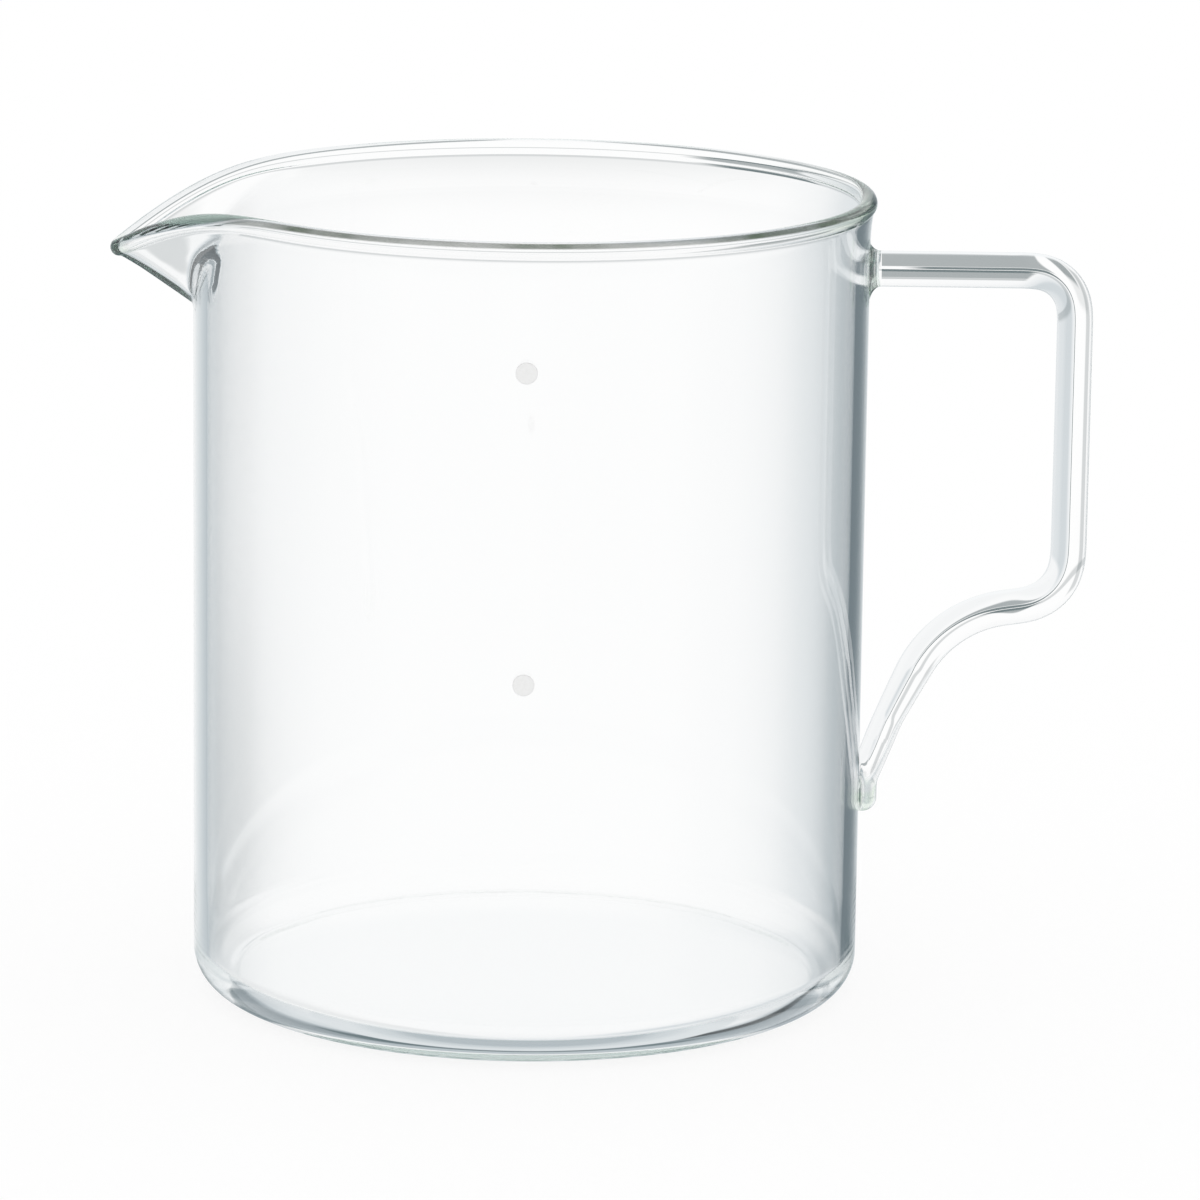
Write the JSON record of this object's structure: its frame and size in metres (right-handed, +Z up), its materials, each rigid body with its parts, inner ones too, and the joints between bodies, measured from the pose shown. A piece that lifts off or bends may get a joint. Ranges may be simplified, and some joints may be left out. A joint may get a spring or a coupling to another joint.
{
  "type": "glass coffee server",
  "caption": "Open straight-sided glass server with a pulled pouring spout, a bent solid glass rod handle and enamel level dots on the front.",
  "frame": {"origin": "middle of the flat underside, on the axis of the round body", "axes": "+Z up along the body's axis, +X out through the handle, -X out through the spout; the level dots face -Y"},
  "size_m": [0.1448, 0.1012, 0.12],
  "materials": {
    "body_glass": "clear, polished",
    "rod_glass": "clear, polished solid rod",
    "weld_glass": "clear, flame-melted",
    "enamel": "fired enamel"
  },
  "bodies": {
    "root": {"glass_body": "body_glass", "handle": "rod_glass", "upper_weld": "weld_glass", "lower_weld": "weld_glass", "upper_level_dot": "enamel", "lower_level_dot": "enamel"}
  },
  "joints": []
}
